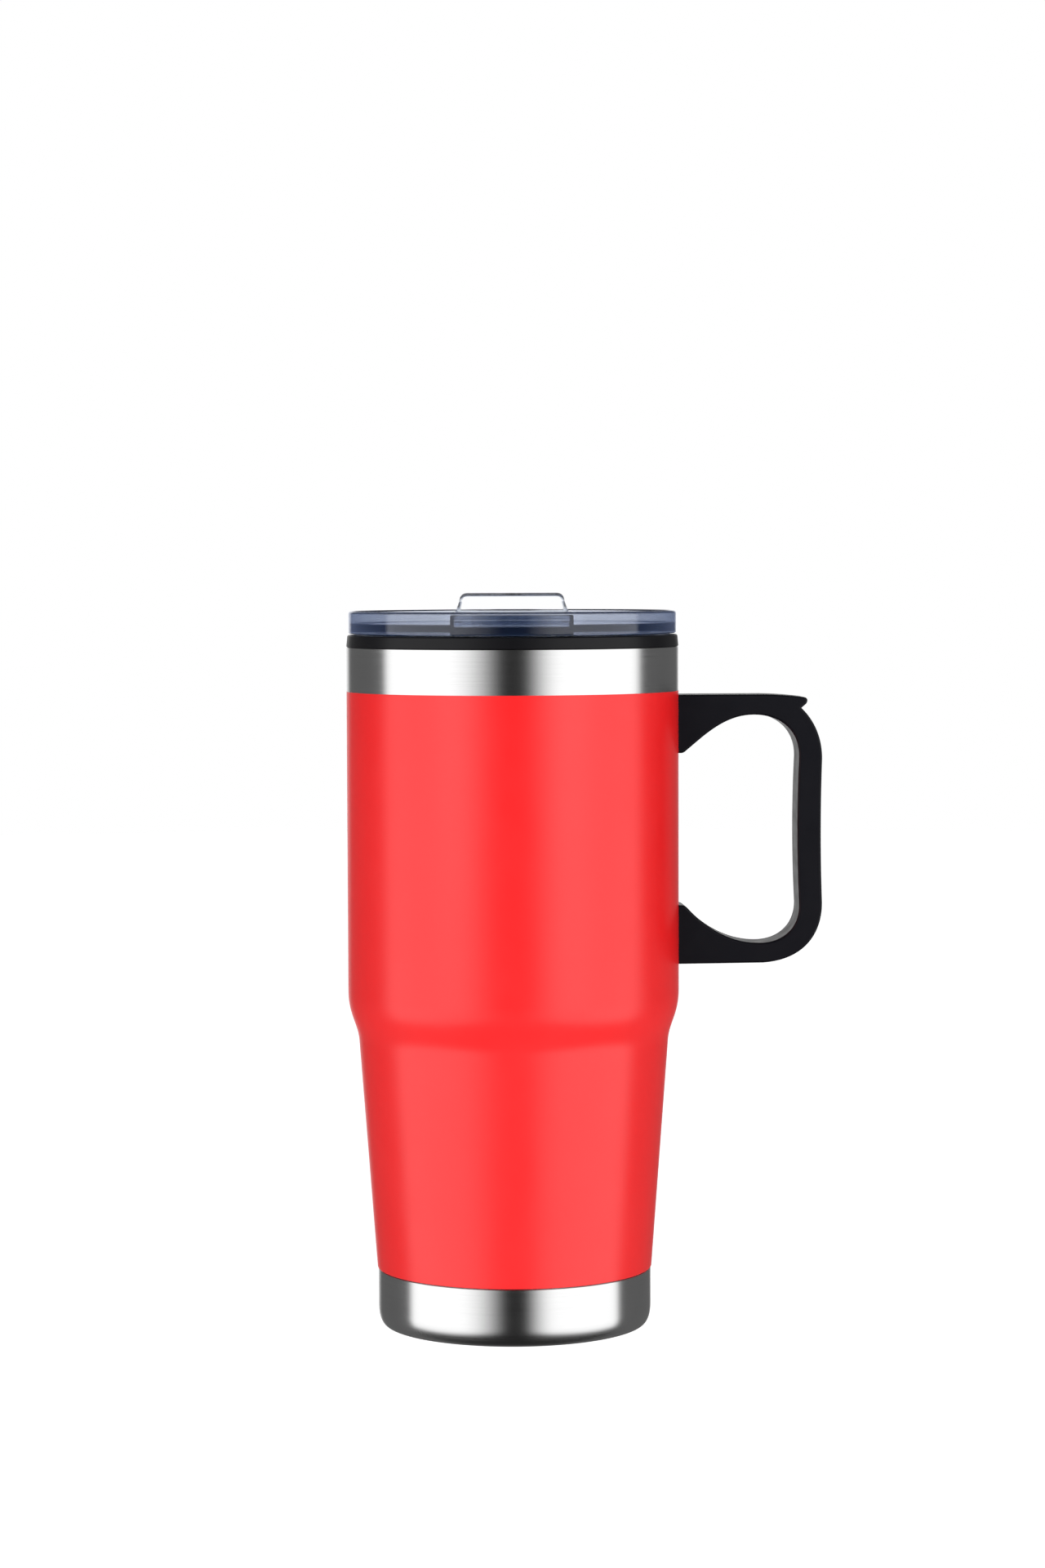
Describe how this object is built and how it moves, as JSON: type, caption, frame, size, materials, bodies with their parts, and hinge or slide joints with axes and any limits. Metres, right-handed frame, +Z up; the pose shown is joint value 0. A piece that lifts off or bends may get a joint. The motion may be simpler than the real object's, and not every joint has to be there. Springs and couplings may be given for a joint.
{
  "type": "insulated travel mug",
  "caption": "Insulated travel mug: stepped steel shell with red coat, plastic liner, strap handle, and a clear push-on lid with a thumb slider over the drinking hole.",
  "frame": {"origin": "centre of the flat underside of the base cup, on the mug's axis", "axes": "+Z up along the mug's axis, +X towards the handle, -Y the side that the drinking hole faces when the lid is put on as shown"},
  "size_m": [0.1276, 0.0892, 0.1973],
  "materials": {
    "brushed_steel": "brushed round the mug",
    "red_coat": "satin coat, with a bare brushed band at the rim",
    "black_plastic": "satin",
    "handle_plastic": "fine satin texture",
    "black_rubber": "matte",
    "zinc_plate": "zinc plated",
    "silicone": "translucent matte",
    "smoke_clear_plastic": "polished, tinted clear",
    "clear_plastic": "polished, clear"
  },
  "bodies": {
    "mug": {"base_cup": "brushed_steel", "outer_shell": "red_coat", "inner_liner": "black_plastic", "liner_seal": "black_rubber", "handle": "handle_plastic", "lower_handle_screw": "zinc_plate", "upper_handle_screw": "zinc_plate", "lower_backing_plate": "zinc_plate", "upper_backing_plate": "zinc_plate"},
    "lid_seal": {"lid_gasket": "silicone"},
    "lid": {"lid_body": "smoke_clear_plastic"},
    "slider": {"thumb_slider": "clear_plastic"}
  },
  "joints": [
    {"name": "lid_lift", "type": "slide", "parent": "mug", "child": "lid_seal", "axis": [0, 0, 1], "range_m": [0, 0.04]},
    {"name": "lid_turn", "type": "hinge", "parent": "lid_seal", "child": "lid", "pos_m": [0, 0, 0.1865], "axis": [0, 0, 1], "continuous": true},
    {"name": "slider_slide", "type": "slide", "parent": "lid", "child": "slider", "axis": [0.061, 0.9981, 0], "range_m": [0, 0.014]}
  ]
}
